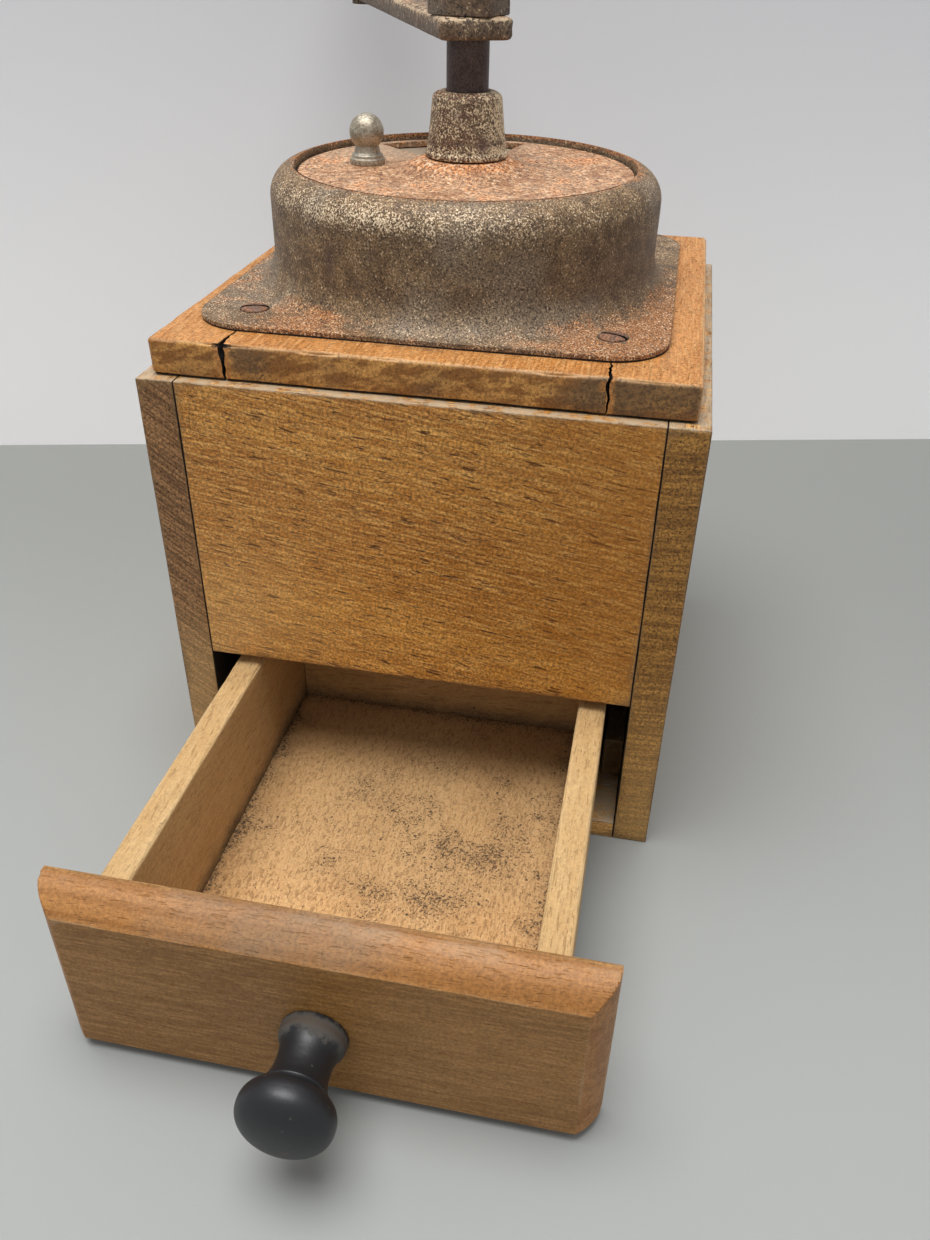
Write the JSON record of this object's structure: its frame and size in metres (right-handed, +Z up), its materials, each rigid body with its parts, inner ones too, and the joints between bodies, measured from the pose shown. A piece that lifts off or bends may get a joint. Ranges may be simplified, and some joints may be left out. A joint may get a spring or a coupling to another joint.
{
  "type": "manual coffee grinder",
  "caption": "Wooden box coffee mill: hand crank over a domed metal hood with a turning lid, conical burrs with a grind adjuster inside, and a drawer that catches the grounds.",
  "frame": {"origin": "centre of the wooden case on its underside, on the table", "axes": "+Z up along the spindle, -Y the way the drawer opens, +X to the right seen from the drawer"},
  "size_m": [0.1335, 0.3031, 0.2223],
  "materials": {
    "beech": "honey varnish, worn",
    "worn_beech": "varnish worn through at the edges",
    "pale_beech": "bare, stained by coffee",
    "black_wood": "black lacquer, dulled",
    "hood_steel": "old nickel, pitted and rusty",
    "lid_steel": "rusted",
    "nickel": "worn nickel, speckled with rust",
    "dark_steel": "dark, bare",
    "cast_iron": "as cast"
  },
  "bodies": {
    "case": {"left_side_panel": "beech", "right_side_panel": "beech", "front_panel": "beech", "back_panel": "beech", "base_board": "beech", "left_guide_strip": "pale_beech", "right_guide_strip": "pale_beech", "top_board": "worn_beech", "hood": "hood_steel", "hood_flange": "hood_steel", "hood_plate": "hood_steel", "hood_screws": "hood_steel", "collar": "nickel", "collar_lock_nut": "dark_steel", "mill_body": "cast_iron", "outer_burr": "cast_iron", "lower_bridge": "cast_iron", "bridge_screws": "nickel"},
    "lid": {"lid_disc": "lid_steel", "lid_knob": "nickel"},
    "adjuster": {"adjusting_wheel": "dark_steel"},
    "stem": {"thrust_stem": "dark_steel"},
    "crank": {"spindle": "dark_steel", "inner_burr": "cast_iron", "drive_pin": "nickel", "crank_arm": "nickel", "crank_nut": "nickel", "knob_pin": "nickel", "knob_washer": "nickel"},
    "grip": {"crank_knob": "black_wood"},
    "drawer": {"drawer_front": "beech", "drawer_left_wall": "pale_beech", "drawer_right_wall": "pale_beech", "drawer_back_wall": "pale_beech", "drawer_floor": "pale_beech", "drawer_knob": "black_wood", "drawer_knob_screw": "nickel", "drawer_nails": "nickel"}
  },
  "joints": [
    {"name": "drawer_slide", "type": "slide", "parent": "case", "child": "drawer", "axis": [0, 1, 0], "range_m": [-0.025, 0.0727]},
    {"name": "lid_turn", "type": "hinge", "parent": "case", "child": "lid", "pos_m": [-0.0014, 0.0023, 0.146], "axis": [0, 0, 1], "continuous": true},
    {"name": "adjuster_turn", "type": "hinge", "parent": "case", "child": "adjuster", "pos_m": [-0.0014, 0.0023, 0.068], "axis": [0, 0, 1], "range_deg": [-361, 361]},
    {"name": "stem_lift", "type": "slide", "parent": "case", "child": "stem", "axis": [0, 0, 1], "range_m": [-0.001, 0.001]},
    {"name": "crank_turn", "type": "hinge", "parent": "stem", "child": "crank", "pos_m": [-0.0014, 0.0023, 0.15], "axis": [0, 0, 1], "continuous": true},
    {"name": "grip_turn", "type": "hinge", "parent": "crank", "child": "grip", "pos_m": [-0.05845, 0.12465, 0.22], "axis": [0, 0, 1], "continuous": true}
  ],
  "couplings": [
    {"joint": "adjuster_turn", "follows": "stem_lift", "rad_per_m": 6283.2}
  ]
}
